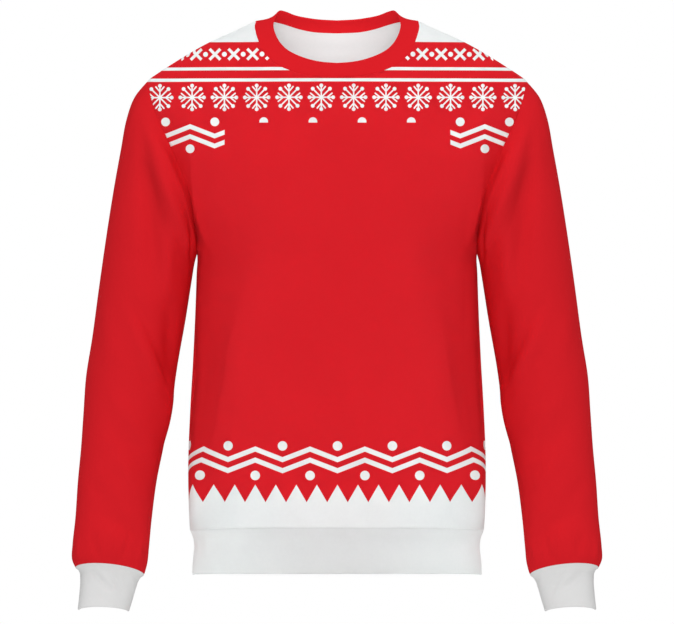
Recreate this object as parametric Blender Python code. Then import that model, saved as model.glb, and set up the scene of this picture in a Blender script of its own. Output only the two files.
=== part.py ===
"""A long-sleeved crew-neck sweater, filled out as if it were worn, with nobody in it.

Eight cut and sewn pieces: front, back, two set-in sleeves, neckband, hem band and two cuffs.
Each is a closed wall of cloth, open where the garment is open, and stands 0.3 mm off the piece
that it is sewn to. The front faces -Y, the wearer's left is +X, and the origin lies midway
between the two points where the shoulder seams meet the neckband.

The tables are in millimetres. MM turns them to metres as the points are placed.
"""

from collections import namedtuple

import bmesh
import bpy
import numpy as np

MM = 0.001

# Driving dimensions
CLOTH = 2.0  # wall of the fleece panels and sleeves
RIB = 3.0  # wall of the doubled rib: neckband, hem band and cuffs
SEAM_GAP = 0.3
HEM_SEAM_MIDDLE = -639.8  # height of the hem seam at the middle of the front and back
HEM_SEAM_DROP = 5.5  # how much lower it lies at the side seams
HEM_BAND_DEPTH = 58.7
HEM_END_DROP = 2.0  # how much lower its free edge lies at the sides
SHOULDER_TIP = -76.5  # height where the shoulder seam ends at the armhole
UNDERARM = -294.0  # height where the side seam ends at the armhole
VALLEY_WIDTH = 24.0  # how far from the armhole the panel starts to dip towards it
HEM_HANDLE = 200.0  # how far up from the hem the panels' columns stay upright
TOP_HANDLE = 90.0  # how far down from the neck and shoulders they stay square to that edge
TOP_LEAN_SPAN = 0.2  # share of the top edge over which its direction is taken
RIM_SHARE = 0.13  # share of a band over which its wall turns from its neighbour's direction

# How finely each piece is divided
NECK_COLUMNS = 7  # from the middle to the shoulder seam
SHOULDER_COLUMNS = 9  # from the neckband to the armhole
SIDE_ROWS = 10  # from the hem seam to the underarm
ARMHOLE_ROWS = 12  # from the underarm to the shoulder tip
SLEEVE_ROWS = 20
NECKBAND_ROWS = 3
HEM_BAND_ROWS = 4
CUFF_ROWS = 5
EDGE_STEPS = 400  # points along an edge while it is measured

FRONT, BACK = -1.0, 1.0
QUARTER = np.pi / 2

# Level sections of the body, as if the arms were cut off: half of the width, how far it reaches
# forward and backward of the side seams, and how square the oval is (2 is an ellipse).
Level = namedtuple("Level", "height half_width front back square")
BODY = (
    Level(-660, 184.0, 116, 110, 2.30),
    Level(-640, 185.6, 119, 112, 2.30),
    Level(-600, 187.6, 123, 114, 2.30),
    Level(-550, 187.8, 124, 112, 2.30),
    Level(-490, 185.4, 124, 107, 2.30),
    Level(-430, 182.0, 124, 104, 2.30),
    Level(-370, 179.2, 125, 105, 2.30),
    Level(-320, 177.5, 126, 109, 2.28),
    Level(-294, 177.0, 126, 112, 2.25),
    Level(-270, 186.0, 126, 115, 2.20),
    Level(-245, 203.0, 125, 117, 2.15),
    Level(-215, 222.0, 123, 118, 2.10),
    Level(-175, 239.0, 117, 116, 2.05),
    Level(-135, 249.0, 107, 111, 2.00),
    Level(-105, 250.0, 98, 105, 2.00),
    Level(-76.5, 239.7, 87, 95, 2.00),
    Level(-64.5, 223.6, 82, 91, 2.00),
    Level(-54.4, 208.1, 77, 86, 2.00),
    Level(-44.3, 191.8, 72, 81, 2.00),
    Level(-34.2, 174.6, 66, 76, 2.00),
    Level(-24.0, 155.0, 59, 69, 2.00),
    Level(-13.9, 132.2, 50, 62, 2.00),
    Level(-3.8, 110.3, 38, 54, 2.00),
    Level(0.0, 103.0, 32, 50, 2.00),
    Level(3.0, 94.5, 26, 46, 2.00),
)

# The armhole seam seen from the front, and how deep the valley is that it lies in
Armhole = namedtuple("Armhole", "height front_x back_x front_valley back_valley")
ARMHOLE = (
    Armhole(-294, 177.0, 177.0, 0, 0),
    Armhole(-275, 177.6, 179.0, 9, 6),
    Armhole(-250, 179.5, 185.0, 15, 9),
    Armhole(-217, 184.7, 196.0, 15, 8),
    Armhole(-176, 203.0, 210.0, 8, 5),
    Armhole(-145, 216.7, 220.0, 3, 2),
    Armhole(-125, 225.6, 227.5, 1, 1),
    Armhole(-97, 235.6, 236.0, 0, 0),
    Armhole(-76.5, 239.7, 239.7, 0, 0),
)

# The neckband from its middle to the shoulder seam: the seam on the panel, then its free edge,
# and how far the middle of its width stands out. The free edge's y is from the side seam plane.
NeckStation = namedtuple("NeckStation", "seam_x seam_z edge_x edge_y edge_z crown")
NECK_FRONT = (
    NeckStation(0.0, -71.5, 0.0, -74.0, -53.3, 1.5),
    NeckStation(20.9, -70.8, 18.0, -73.0, -52.0, 1.5),
    NeckStation(39.8, -68.3, 34.0, -70.0, -48.8, 1.5),
    NeckStation(58.8, -63.3, 49.5, -64.5, -43.4, 1.5),
    NeckStation(76.5, -55.0, 62.5, -56.5, -36.4, 1.5),
    NeckStation(88.5, -44.5, 71.0, -47.0, -28.2, 1.4),
    NeckStation(96.8, -33.0, 76.5, -36.5, -19.2, 1.2),
    NeckStation(102.0, -20.0, 79.8, -25.5, -10.0, 0.9),
    NeckStation(104.3, -9.0, 80.8, -15.0, -2.5, 0.4),
    NeckStation(103.0, 0.0, 79.0, -3.0, 5.0, -0.6),
)
NECK_BACK = (
    NeckStation(0.0, -13.5, 0.0, 50.0, 1.9, 1.5),
    NeckStation(27.2, -12.3, 22.0, 48.8, 3.1, 1.5),
    NeckStation(46.2, -8.8, 38.0, 45.0, 5.2, 1.3),
    NeckStation(65.2, -2.8, 52.5, 38.0, 8.2, 0.6),
    NeckStation(80.5, 1.3, 64.0, 28.0, 12.6, -0.4),
    NeckStation(92.5, 1.4, 72.0, 17.0, 14.3, -1.4),
    NeckStation(100.0, 0.5, 76.5, 7.0, 10.0, -2.0),
    NeckStation(103.0, 0.0, 79.0, -3.0, 5.0, -0.6),
)

# Sections across the +X sleeve, from the armhole to the cuff seam: its outer and inner sides seen
# from the front, half of its depth, the y of its middle, and how far the middle of its front and
# back rides up.
Section = namedtuple("Section", "share outer_x outer_z inner_x inner_z half_depth middle_y arch")
SLEEVE = (
    Section(0.00, 239.7, -76.5, 177.0, -294.0, 66, 0, 0),
    Section(0.05, 256.4, -97.0, 177.8, -297.5, 69, 0, 0),
    Section(0.10, 266.2, -124.0, 179.0, -302.0, 70, 0, 0),
    Section(0.16, 273.5, -163.0, 180.4, -308.0, 70, 0, 0),
    Section(0.23, 281.8, -209.0, 182.4, -320.0, 69, 0, 0),
    Section(0.31, 291.5, -270.0, 186.0, -343.0, 67, 0, 0),
    Section(0.39, 301.1, -337.0, 191.8, -380.0, 64, 1, 0),
    Section(0.47, 309.6, -400.0, 199.0, -421.0, 61, 2, 0),
    Section(0.54, 317.4, -449.0, 205.0, -459.0, 58, 2, 0),
    Section(0.61, 320.7, -495.0, 211.7, -499.0, 54, 0, 0),
    Section(0.69, 323.8, -540.0, 219.8, -541.0, 50, -4, 0),
    Section(0.77, 327.8, -583.0, 228.2, -583.0, 46, -9, 0),
    Section(0.85, 330.8, -628.0, 234.2, -630.0, 41, -15, 1),
    Section(0.92, 334.4, -662.0, 237.6, -666.0, 37, -20, 4),
    Section(0.96, 335.2, -679.0, 239.4, -684.0, 34, -22, 7),
    Section(1.00, 330.8, -690.5, 243.6, -699.5, 28, -25, 9),
)
CUFF = (
    Section(0.00, 330.8, -690.5, 243.6, -699.5, 28.0, -25, 9),
    Section(0.14, 325.3, -697.0, 250.8, -707.5, 24.0, -25, 8),
    Section(0.30, 324.4, -706.0, 253.8, -716.0, 22.0, -26, 7),
    Section(0.60, 325.6, -724.0, 257.8, -730.0, 21.5, -27, 6),
    Section(1.00, 327.8, -744.3, 262.9, -746.8, 21.5, -29, 5),
)
SLEEVE_SQUARE = 2.1
ARCH_POWER = 1.3  # a lower one keeps the arch high until close to the two sides
HEAD_FADE = 0.42  # share of the sleeve over which the armhole's own shape fades to an oval
VALLEY_FADE = 0.11  # share over which the valley at the armhole comes out again
TURNED, RUNS_ON = 0.5, 0.9  # cosines between body and sleeve: a corner, and one sweep

# The hem band below its seam: how far down, and how far in from the body's hem
BandLevel = namedtuple("BandLevel", "share inset")
HEM_BAND = (
    BandLevel(0.00, 0.0),
    BandLevel(0.12, 3.0),
    BandLevel(0.30, 5.4),
    BandLevel(0.55, 3.8),
    BandLevel(0.80, 1.8),
    BandLevel(1.00, 1.2),
)

# The largest folds: a line on the cloth from one end to the other, how wide it is, and how far it
# stands out (a trough is negative). On the panels the line is x and z seen from the front. On the
# sleeves it is degrees around from the outer side by way of the front, and the share along.
Fold = namedtuple("Fold", "from_a from_b to_a to_b width rise")
FRONT_FOLDS = (
    Fold(158, -250, 170, -500, 24, -9.0),
    Fold(112, -290, 150, -570, 26, 3.0),
)
BACK_FOLDS = (
    Fold(158, -260, 168, -480, 26, -9.0),
    Fold(0, -340, 0, -540, 46, -6.0),
    Fold(88, -240, 126, -560, 28, 4.0),
)
SLEEVE_FOLDS = (
    Fold(58, 0.10, 104, 0.36, 14, -8.0),
    Fold(96, 0.14, 122, 0.38, 13, 4.0),
    Fold(80, 0.34, 130, 0.62, 12, 6.0),
    Fold(108, 0.34, 148, 0.58, 17, -9.0),
    Fold(64, 0.62, 150, 0.76, 15, -3.5),
    Fold(56, 0.82, 150, 0.91, 14, -3.5),
    Fold(222, 0.12, 258, 0.34, 16, -7.0),
    Fold(208, 0.36, 262, 0.53, 16, -8.0),
    Fold(226, 0.48, 292, 0.64, 15, 6.0),
    Fold(212, 0.66, 288, 0.77, 15, -5.0),
)
DEGREE_WIDTH = 1.0  # about how many millimetres of sleeve one degree around it is
SHARE_LENGTH = 610.0  # length of the sleeve in millimetres
SIDE_FADE, HEM_FADE, TOP_FADE = 0.1, 0.06, 0.08  # shares at a panel's edges that the folds fade in
ARMHOLE_FADE, CUFF_FADE = 0.1, 0.06  # the same at a sleeve's two ends

RED = (0.68, 0.015, 0.022, 1)
WHITE = (0.80, 0.80, 0.79, 1)
CLOTH_ROUGHNESS = 0.9
SHARP_ANGLE = np.radians(50)


def row_at(table, place):
    """Read a table's columns on a smooth curve through its rows. The first column is the place."""
    rows = np.array(table, dtype=float)
    places, values = rows[:, 0], rows[:, 1:]
    slopes = np.gradient(values, places, axis=0)
    place = np.clip(place, places[0], places[-1])
    lower = np.clip(np.searchsorted(places, place, side="right") - 1, 0, len(places) - 2)
    step = (places[lower + 1] - places[lower])[..., None]
    t = (place[..., None] - places[lower][..., None]) / step
    start = values[lower] * (1 + 2 * t) * (1 - t) ** 2 + slopes[lower] * step * t * (1 - t) ** 2
    end = values[lower + 1] * (3 - 2 * t) * t**2 - slopes[lower + 1] * step * (1 - t) * t**2
    return np.moveaxis(start + end, -1, 0)


def ease(t):
    """0 up to t = 0, 1 from t = 1, with a soft start and end."""
    t = np.clip(t, 0, 1)
    return t * t * (3 - 2 * t)


def unit(vectors):
    return vectors / np.maximum(np.linalg.norm(vectors, axis=-1, keepdims=True), 1e-12)


def relief(folds, a, b, a_size=1.0, b_size=1.0):
    """How far the folds raise the cloth at places (a, b), whose units measure a_size and b_size."""
    total = np.zeros(np.shape(a))
    for fold in folds:
        run_a, run_b = (fold.to_a - fold.from_a) * a_size, (fold.to_b - fold.from_b) * b_size
        to_a, to_b = (a - fold.from_a) * a_size, (b - fold.from_b) * b_size
        t = np.clip((to_a * run_a + to_b * run_b) / (run_a**2 + run_b**2), 0, 1)
        away = np.hypot(to_a - t * run_a, to_b - t * run_b) / fold.width
        total = total + fold.rise * np.exp(-(away**2)) * np.sin(np.pi * t)
    return total


# The body


def body_point(turn, height, side):
    """A point of the body and its outward normal. turn is a quarter turn from middle to seam."""
    half_width, front, back, square = row_at(BODY, height)
    depth = front if side == FRONT else back
    sine, cosine = np.abs(np.sin(turn * QUARTER)), np.abs(np.cos(turn * QUARTER))
    cosine = np.where(np.abs(turn) > 1 - 1e-9, 0.0, cosine)
    x_share, y_share = sine ** (2 / square), cosine ** (2 / square)
    point = np.stack([np.sign(turn) * half_width * x_share, side * depth * y_share, height], -1)

    above = row_at(BODY, height + 1.0)
    below = row_at(BODY, height - 1.0)
    widening = (above[0] - below[0]) / 2
    deepening = (above[1] - below[1]) / 2 if side == FRONT else (above[2] - below[2]) / 2
    x_normal = np.sign(turn) * x_share ** (square - 1) / half_width
    y_normal = side * y_share ** (square - 1) / depth
    z_normal = -(x_share**square * widening / half_width + y_share**square * deepening / depth)
    return point, unit(np.stack([x_normal, y_normal, z_normal], -1))


def quarter_girth(height, side):
    """About how much cloth lies between the panel's middle and its seam."""
    half_width, front, back, _ = row_at(BODY, height)
    depth = front if side == FRONT else back
    return QUARTER * np.sqrt((half_width**2 + depth**2) / 2)


class Edge(namedtuple("Edge", "share flat height")):
    """One edge of a panel: share of its length, distance from the panel's middle, and height."""

    @classmethod
    def through(cls, x, z, side):
        """The edge through points seen from the front, in equal shares of its length."""
        half_width, _, _, square = row_at(BODY, z)
        turn = np.arcsin(np.clip(x / half_width, 0, 1) ** (square / 2)) / QUARTER
        points, _ = body_point(turn, z, side)
        steps = np.linalg.norm(np.diff(points, axis=0), axis=1)
        length = np.concatenate([[0], np.cumsum(steps)])
        return cls(length / length[-1], turn * quarter_girth(z, side), z)

    def at(self, share):
        return np.interp(share, self.share, self.flat), np.interp(share, self.share, self.height)

    def then(self, other, split):
        """This edge up to the share split, and the other edge from there on."""
        share = np.concatenate([self.share * split, split + other.share[1:] * (1 - split)])
        flat = np.concatenate([self.flat, other.flat[1:]])
        return Edge(share, flat, np.concatenate([self.height, other.height[1:]]))


STEPS = np.linspace(0, 1, EDGE_STEPS)
NECK_SHARE = NECK_COLUMNS / (NECK_COLUMNS + SHOULDER_COLUMNS)
SIDE_SHARE = SIDE_ROWS / (SIDE_ROWS + ARMHOLE_ROWS)


def hem_seam_height(turn):
    return HEM_SEAM_MIDDLE - HEM_SEAM_DROP * turn**2


def hem_end_height(turn):
    return HEM_SEAM_MIDDLE - HEM_BAND_DEPTH - HEM_END_DROP * turn**4


def neck_table(side):
    stations = NECK_FRONT if side == FRONT else NECK_BACK
    return [(index / (len(stations) - 1), *station) for index, station in enumerate(stations)]


def armhole_edge(side):
    """From the underarm up to the shoulder tip."""
    height = UNDERARM + (SHOULDER_TIP - UNDERARM) * (1 - np.cos(np.pi * STEPS)) / 2
    front_x, back_x, _, _ = row_at(ARMHOLE, height)
    return Edge.through(front_x if side == FRONT else back_x, height, side)


def panel_edges(side):
    """The top edge from its middle to the shoulder tip, and the side from the hem up to there."""
    neck_x, neck_z, *_ = row_at(neck_table(side), STEPS)
    neck = Edge.through(neck_x, neck_z, side)
    shoulder_z = SHOULDER_TIP * STEPS
    shoulder = Edge.through(row_at(BODY, shoulder_z)[0], shoulder_z, side)
    side_z = hem_seam_height(1.0) + (UNDERARM - hem_seam_height(1.0)) * STEPS
    side_seam = Edge.through(row_at(BODY, side_z)[0], side_z, side)
    return neck.then(shoulder, NECK_SHARE), side_seam.then(armhole_edge(side), SIDE_SHARE)


EDGES = {side: panel_edges(side) for side in (FRONT, BACK)}


def valley(height, side):
    """How deep the armhole seam lies below the body's surface."""
    _, _, front_valley, back_valley = row_at(ARMHOLE, height)
    depth = front_valley if side == FRONT else back_valley
    return np.where(height < UNDERARM, 0.0, depth)


def column(out, v, top, side):
    """Where a column of the panel's grid lies on the flat cloth, from the hem seam up."""
    hem_z = hem_seam_height(out)
    hem_flat = out * quarter_girth(hem_z, side)
    top_flat, top_z = top.at(out)
    inner, outer = out - TOP_LEAN_SPAN, np.minimum(out + TOP_LEAN_SPAN, 1)
    inner_flat, inner_z = top.at(np.abs(inner))
    outer_flat, outer_z = top.at(outer)
    run, rise = outer_flat - np.sign(inner) * inner_flat, outer_z - inner_z
    lean = TOP_HANDLE / np.hypot(run, rise)
    start, lift, settle, end = (1 - v) ** 3, 3 * v * (1 - v) ** 2, 3 * v**2 * (1 - v), v**3
    flat = (start + lift) * hem_flat + (settle + end) * top_flat + settle * lean * rise
    height = ((start + lift) * hem_z + lift * HEM_HANDLE
              + (settle + end) * top_z - settle * lean * run)
    return flat, height


def panel_point(u, v, side, folds):
    """A point of the front or back. u runs from -X to +X, v from the hem seam to the top edge."""
    top, seam = EDGES[side]
    out = np.abs(2 * u - 1)
    seam_flat, seam_z = seam.at(v)
    flat, height = column(out, v, top, side)
    last_flat, last_z = column(np.ones_like(out), v, top, side)
    flat = flat + out * (seam_flat - last_flat)
    height = height + out * (seam_z - last_z)
    turn = np.clip(flat / quarter_girth(height, side), 0, 1)
    point, normal = body_point(np.sign(2 * u - 1) * turn, height, side)

    inside = ease((1 - out) / SIDE_FADE) * ease(v / HEM_FADE) * ease((1 - v) / TOP_FADE)
    rise = relief(folds, np.abs(point[..., 0]), point[..., 2]) * inside
    point = point + normal * rise[..., None]
    near = ease(1 - (seam_flat - flat) / VALLEY_WIDTH) * (v >= SIDE_SHARE)
    point[..., 1] -= side * near * valley(seam_z, side)
    point[..., 1] = side * np.maximum(side * point[..., 1], SEAM_GAP / 2)
    return point, normal


# The sleeves


def armhole_loop(w):
    """The armhole seam of the +X side, from the tip by the front to the underarm and back."""
    points, normals, valleys = [], [], []
    for side in (FRONT, BACK):
        flat, height = armhole_edge(side).at(np.abs(1 - 2 * w))
        point, normal = body_point(flat / quarter_girth(height, side), height, side)
        points.append(point)
        normals.append(normal)
        valleys.append(-side * valley(height, side))
    in_front = (w <= 0.5)
    point = np.where(in_front[..., None], points[0], points[1])
    normal = np.where(in_front[..., None], normals[0], normals[1])
    return point, normal, np.where(in_front, valleys[0], valleys[1])


def oval(table, share, w):
    """A point of the tube through the sections of a table."""
    outer_x, outer_z, inner_x, inner_z, half_depth, middle_y, arch = row_at(table, share)
    sine, cosine = np.sin(2 * np.pi * w), np.cos(2 * np.pi * w)
    along = np.sign(cosine) * np.abs(cosine) ** (2 / SLEEVE_SQUARE)
    deep = np.sign(sine) * np.abs(sine) ** (2 / SLEEVE_SQUARE)
    x = (outer_x + inner_x) / 2 + along * (outer_x - inner_x) / 2
    z = (outer_z + inner_z) / 2 + along * (outer_z - inner_z) / 2 + arch * np.abs(deep) ** ARCH_POWER
    return np.stack([x, middle_y - deep * half_depth, z], -1)


def tube_normals(point_at, w, share, step=0.002):
    """Outward normals of the tube, from the lie of the cloth around each point."""
    around = point_at(w + step, share) - point_at(w - step, share)
    along = point_at(w, np.minimum(share + step, 1)) - point_at(w, np.maximum(share - step, 0))
    return unit(np.cross(around, along))


def sleeve_form(w, share):
    """The +X sleeve before its folds. w runs around it, share from the armhole to the cuff."""
    w = np.mod(w, 1.0)
    seam, _, depth = armhole_loop(w)
    own_shape = seam - oval(SLEEVE, np.zeros_like(share), w)
    point = oval(SLEEVE, share, w) + own_shape * (1 - ease(share / HEAD_FADE))[..., None]
    point[..., 1] += depth * (1 - ease(share / VALLEY_FADE))
    return point


def sleeve_point(w, share):
    normal = tube_normals(sleeve_form, w, share)
    inside = ease(share / ARMHOLE_FADE) * ease((1 - share) / CUFF_FADE)
    rise = relief(SLEEVE_FOLDS, w * 360, share, DEGREE_WIDTH, SHARE_LENGTH) * inside
    point = sleeve_form(w, share) + normal * rise[..., None]

    # At the armhole the sleeve leaves a gap, and where it runs on from the body in one sweep,
    # as over the shoulder, its wall has the body's direction.
    _, body_normal, _ = armhole_loop(np.mod(w, 1.0))
    flush = ease((np.sum(normal * body_normal, -1) - TURNED) / (RUNS_ON - TURNED))[..., None]
    start = np.clip(1 - share * SLEEVE_ROWS, 0, 1)[..., None]
    off_seam = unit(sleeve_form(w, share + 1 / SLEEVE_ROWS) - sleeve_form(w, share))
    point = point + start * SEAM_GAP * (off_seam + (1 - flush) * body_normal)
    return point, unit(normal + start * flush * (body_normal - normal))


def cuff_form(w, share):
    return oval(CUFF, share, np.mod(w, 1.0))


def cuff_point(w, share):
    first = SEAM_GAP / (CUFF[0].outer_z - CUFF[-1].outer_z)
    share = first + share * (1 - first)
    _, end_normal = sleeve_point(w, np.ones_like(share))
    near = (1 - ease(share / RIM_SHARE))[..., None]
    normal = tube_normals(cuff_form, w, share)
    return cuff_form(w, share), unit(normal + near * (end_normal - normal))


# The neckband and the hem band


def neckband_point(w, share):
    """w runs around from the middle of the front, share from the seam to the free edge."""
    w = np.mod(w, 1.0)
    half = np.where(w <= 0.5, w, 1 - w) * 2
    sign = np.where(w <= 0.5, 1.0, -1.0)
    front = half <= 0.5
    place = np.where(front, half * 2, 2 - half * 2)
    seams, normals, edges, crowns = [], [], [], []
    for side in (FRONT, BACK):
        flat, height = EDGES[side][0].at(place * NECK_SHARE)
        point, normal = body_point(flat / quarter_girth(height, side), height, side)
        _, _, edge_x, edge_y, edge_z, crown = row_at(neck_table(side), place)
        seams.append(point)
        normals.append(normal)
        edges.append(np.stack([edge_x, edge_y, edge_z], -1))
        crowns.append(crown)
    seam = np.where(front[..., None], seams[0], seams[1])
    seam_normal = np.where(front[..., None], normals[0], normals[1])
    edge = np.where(front[..., None], edges[0], edges[1])
    crown = np.where(front, crowns[0], crowns[1])
    off_seam = unit(edge - seam)
    seam = seam + SEAM_GAP * off_seam
    straight = seam + (edge - seam) * share[..., None]
    point = straight + seam_normal * (crown * np.sin(np.pi * share))[..., None]
    mirror = np.stack([sign, np.ones_like(sign), np.ones_like(sign)], -1)
    return point * mirror, seam_normal * mirror


def hem_band_point(w, share):
    """w runs around from the middle of the front, share from the seam to the free edge."""
    quarter = np.mod(w, 1.0) * 4
    turn = np.select([quarter <= 1, quarter <= 2, quarter <= 3],
                     [quarter, 2 - quarter, 2 - quarter], quarter - 4)
    side = np.where((quarter <= 1) | (quarter >= 3), FRONT, BACK)
    height = hem_seam_height(np.abs(turn))
    front_point, front_normal = body_point(turn, height, FRONT)
    back_point, back_normal = body_point(turn, height, BACK)
    in_front = (side == FRONT)[..., None]
    seam = np.where(in_front, front_point, back_point)
    normal = np.where(in_front, front_normal, back_normal)
    (inset,) = row_at(HEM_BAND, share)
    level = unit(normal * np.array([1, 1, 0]))
    point = seam - level * inset[..., None]
    depth = height - hem_end_height(turn)
    point[..., 2] -= SEAM_GAP + share * (depth - SEAM_GAP)
    near = (1 - ease(share / RIM_SHARE))[..., None]
    return point, unit(level + near * (normal - level))


# Making the walls


def new_object(name, mesh, colour):
    data = bpy.data.meshes.new(name)
    mesh.to_mesh(data)
    mesh.free()
    data.shade_smooth()
    data.set_sharp_from_angle(angle=SHARP_ANGLE)
    material = bpy.data.materials.new(name)
    material.use_nodes = True
    shader = material.node_tree.nodes["Principled BSDF"]
    shader.inputs["Base Color"].default_value = colour
    shader.inputs["Roughness"].default_value = CLOTH_ROUGHNESS
    shader.inputs["Metallic"].default_value = 0
    data.materials.append(material)
    piece = bpy.data.objects.new(name, data)
    bpy.context.scene.collection.objects.link(piece)
    return piece


def wall(name, columns, rows, place, thickness, colour, mirrored=False):
    """A sheet of cloth with its thickness inwards. place gives a point and normal at (u, v)."""
    mesh = bmesh.new()
    bmesh.ops.create_grid(mesh, x_segments=columns, y_segments=rows, size=0.5)
    u = np.round(np.array([vertex.co.x + 0.5 for vertex in mesh.verts]) * columns) / columns
    v = np.round(np.array([vertex.co.y + 0.5 for vertex in mesh.verts]) * rows) / rows
    points, normals = place(u, v)
    if mirrored:
        points, normals = points * (-1, 1, 1), normals * (-1, 1, 1)
    inward = mesh.verts.layers.float_vector.new("inward")
    for vertex, point, normal in zip(mesh.verts, points, normals):
        vertex.co = point * MM
        vertex[inward] = -normal * thickness * MM
    bmesh.ops.remove_doubles(mesh, verts=mesh.verts[:], dist=0.000001)
    made = bmesh.ops.extrude_face_region(mesh, geom=mesh.faces[:])["geom"]
    for vertex in made:
        if isinstance(vertex, bmesh.types.BMVert):
            vertex.co += vertex[inward]
    bmesh.ops.recalc_face_normals(mesh, faces=mesh.faces[:])
    return new_object(name, mesh, colour)


for old in list(bpy.data.objects):
    bpy.data.objects.remove(old, do_unlink=True)

panel_columns = 2 * (NECK_COLUMNS + SHOULDER_COLUMNS)
panel_rows = SIDE_ROWS + ARMHOLE_ROWS
wall("front", panel_columns, panel_rows,
     lambda u, v: panel_point(u, v, FRONT, FRONT_FOLDS), CLOTH, RED)
wall("back", panel_columns, panel_rows,
     lambda u, v: panel_point(u, v, BACK, BACK_FOLDS), CLOTH, RED)
for suffix, mirrored in (("left", False), ("right", True)):
    wall(f"sleeve_{suffix}", 2 * ARMHOLE_ROWS, SLEEVE_ROWS, sleeve_point, CLOTH, RED, mirrored)
    wall(f"cuff_{suffix}", 2 * ARMHOLE_ROWS, CUFF_ROWS, cuff_point, RIB, WHITE, mirrored)
wall("neckband", 4 * NECK_COLUMNS, NECKBAND_ROWS, neckband_point, RIB, RED)
wall("hem_band", 2 * panel_columns, HEM_BAND_ROWS, hem_band_point, RIB, WHITE)
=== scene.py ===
"""The looks of a long-sleeved crew-neck Christmas sweater, filled out as if it were worn.

Eight cut and sewn pieces of fleece: a printed front and back, two red sleeves, a red neckband, and
a white hem band and cuffs. Each one is a thin shell on its solid's form, with the creases, the
rolled seams and the folded edges that the solid leaves out. The pieces are in millimetres, MM turns
them to metres, and the studio is in metres. The front faces -Y and the wearer's left is +X.
"""

from collections import namedtuple

import bmesh
import bpy
import numpy as np
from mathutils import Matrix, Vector


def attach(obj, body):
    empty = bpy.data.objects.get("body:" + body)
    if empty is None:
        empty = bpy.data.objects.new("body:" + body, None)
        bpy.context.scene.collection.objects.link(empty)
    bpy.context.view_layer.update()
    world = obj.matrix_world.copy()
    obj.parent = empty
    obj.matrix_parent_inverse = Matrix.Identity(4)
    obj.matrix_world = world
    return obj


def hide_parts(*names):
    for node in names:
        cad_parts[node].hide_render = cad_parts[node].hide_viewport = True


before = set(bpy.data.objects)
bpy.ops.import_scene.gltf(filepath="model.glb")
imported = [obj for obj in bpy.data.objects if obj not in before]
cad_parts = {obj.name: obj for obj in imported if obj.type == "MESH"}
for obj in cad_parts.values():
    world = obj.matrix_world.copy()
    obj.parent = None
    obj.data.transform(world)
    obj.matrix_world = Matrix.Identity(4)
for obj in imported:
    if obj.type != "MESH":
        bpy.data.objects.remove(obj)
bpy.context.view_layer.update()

MM = 0.001

# The studio: a pale floor well below the garment, an even sky, a low sun in front and a high one,
# a small lamp that lights only the inside of the neck, fill lights at both sides that pass the
# sleeves by and light only the body, and a long lens straight at the front.

FLOOR_HEIGHT = -1.45
FLOOR_RADIUS, FLOOR_SIDES = 9.0, 96
FLOOR_COLOUR, FLOOR_ROUGHNESS = (0.86, 0.86, 0.85, 1), 0.9
SKY_STRENGTH = 0.40
BACKDROP_STRENGTH = 1.0  # the camera sees this white in place of the sky
CAMERA_DISTANCE, CAMERA_REACH = 30.0, 100.0
CAMERA_HEIGHT = -0.3681
VIEW_WIDTH = 0.8526  # across the picture at the garment
# A share of 1 fully lights a white that faces the sun. Angles are degrees, and 0 is in front
Sun = namedtuple("Sun", "name azimuth elevation share angle colour lights")
WHITE_LIGHT = (1, 1, 1)
SUNS = [
    Sun("front_sun", 0, 5, 0.34, 20, WHITE_LIGHT, None),
    Sun("top_sun", 0, 80, 0.42, 40, WHITE_LIGHT, None),
]
# A fill is short of red where that makes up for what the sleeves throw on the white next to them
Fill = namedtuple("Fill", "lights share colour")
FILLS = (
    Fill("front_piece", 0.15, (0.4, 1, 1)),
    Fill("back_piece", 0.15, WHITE_LIGHT),
    Fill("hem_piece", 0.42, (0.8, 1, 1)),
)
FILL_AZIMUTH, FILL_ANGLE = 92, 20
for fill in FILLS:
    for side_name, azimuth in (("left", FILL_AZIMUTH), ("right", -FILL_AZIMUTH)):
        SUNS.append(Sun(f"{side_name}_{fill.lights}_fill", azimuth, 0, fill.share, FILL_ANGLE,
                        fill.colour, fill.lights))
NECK_LAMP_PLACE, NECK_LAMP_POWER, NECK_LAMP_RADIUS = (0, -0.020, -0.060), 0.17, 0.01

floor_mesh = bmesh.new()
bmesh.ops.create_circle(floor_mesh, cap_ends=True, segments=FLOOR_SIDES, radius=FLOOR_RADIUS)
bmesh.ops.translate(floor_mesh, verts=floor_mesh.verts, vec=(0, 0, FLOOR_HEIGHT))
floor_data = bpy.data.meshes.new("floor")
floor_mesh.to_mesh(floor_data)
floor_mesh.free()
floor_paint = bpy.data.materials.new("floor_paint")
floor_paint.use_nodes = True
floor_shader = floor_paint.node_tree.nodes["Principled BSDF"]
floor_shader.inputs["Base Color"].default_value = FLOOR_COLOUR
floor_shader.inputs["Roughness"].default_value = FLOOR_ROUGHNESS
floor_data.materials.append(floor_paint)
floor = bpy.data.objects.new("floor", floor_data)
bpy.context.scene.collection.objects.link(floor)

body_pieces = bpy.data.collections.new("body_pieces")
lit_alone = {fill.lights: bpy.data.collections.new(fill.lights) for fill in FILLS}
for sun in SUNS:
    light = bpy.data.lights.new(sun.name, "SUN")
    light.energy, light.color = np.pi * sun.share, sun.colour
    light.angle = np.radians(sun.angle)
    lamp = bpy.data.objects.new(sun.name, light)
    turn, lift = np.radians(sun.azimuth), np.radians(sun.elevation)
    toward = Vector((np.sin(turn) * np.cos(lift), -np.cos(turn) * np.cos(lift), np.sin(lift)))
    lamp.rotation_euler = toward.to_track_quat("Z", "Y").to_euler()
    if sun.lights:
        lamp.light_linking.receiver_collection = lit_alone[sun.lights]
        lamp.light_linking.blocker_collection = body_pieces
    bpy.context.scene.collection.objects.link(lamp)

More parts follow.
